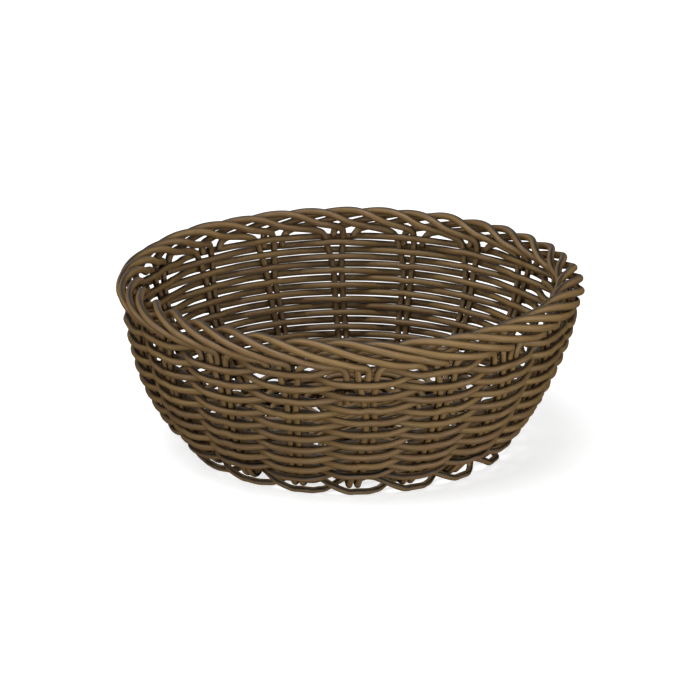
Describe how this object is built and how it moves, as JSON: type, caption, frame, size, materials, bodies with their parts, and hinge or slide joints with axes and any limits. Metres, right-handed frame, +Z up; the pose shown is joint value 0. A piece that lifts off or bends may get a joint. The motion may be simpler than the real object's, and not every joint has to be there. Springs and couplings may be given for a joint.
{
  "type": "woven fruit basket",
  "caption": "Round open basket woven from plastic rattan cord, with a rolled border and a twined foot, for fruit or bread on a table.",
  "frame": {"origin": "under the middle of the foot, on the surface that the basket stands on", "axes": "+Z up through the open top; the basket is round, and -Y is the side that the picture was taken from"},
  "size_m": [0.2515, 0.2514, 0.0964],
  "materials": {
    "stake_cord": "satin extruded plastic rattan cord with fine lengthwise grain, yellow-brown",
    "weaver_cord": "satin extruded plastic rattan cord with fine lengthwise grain, mid brown",
    "foot_cord": "satin extruded plastic rattan cord with fine lengthwise grain, mid brown"
  },
  "bodies": {
    "root": {"stake_01": "stake_cord", "stake_02": "stake_cord", "stake_03": "stake_cord", "stake_04": "stake_cord", "stake_05": "stake_cord", "stake_06": "stake_cord", "stake_07": "stake_cord", "stake_08": "stake_cord", "stake_09": "stake_cord", "stake_10": "stake_cord", "stake_11": "stake_cord", "stake_12": "stake_cord", "stake_13": "stake_cord", "stake_14": "stake_cord", "stake_15": "stake_cord", "stake_16": "stake_cord", "stake_17": "stake_cord", "stake_18": "stake_cord", "wall_row_01": "weaver_cord", "wall_row_02": "weaver_cord", "wall_row_03": "weaver_cord", "wall_row_04": "weaver_cord", "wall_row_05": "weaver_cord", "wall_row_06": "weaver_cord", "wall_row_07": "weaver_cord", "wall_row_08": "weaver_cord", "wall_row_09": "weaver_cord", "wall_row_10": "weaver_cord", "wall_row_11": "weaver_cord", "wall_row_12": "weaver_cord", "wall_row_13": "weaver_cord", "wall_row_14": "weaver_cord", "wall_row_15": "weaver_cord", "wall_row_16": "weaver_cord", "wall_row_17": "weaver_cord", "wall_row_18": "weaver_cord", "wall_row_19": "weaver_cord", "base_row_01": "weaver_cord", "base_row_02": "weaver_cord", "base_row_03": "weaver_cord", "base_row_04": "weaver_cord", "base_row_05": "weaver_cord", "base_row_06": "weaver_cord", "base_row_07": "weaver_cord", "foot_cord_1": "foot_cord", "foot_cord_2": "foot_cord"}
  },
  "joints": []
}
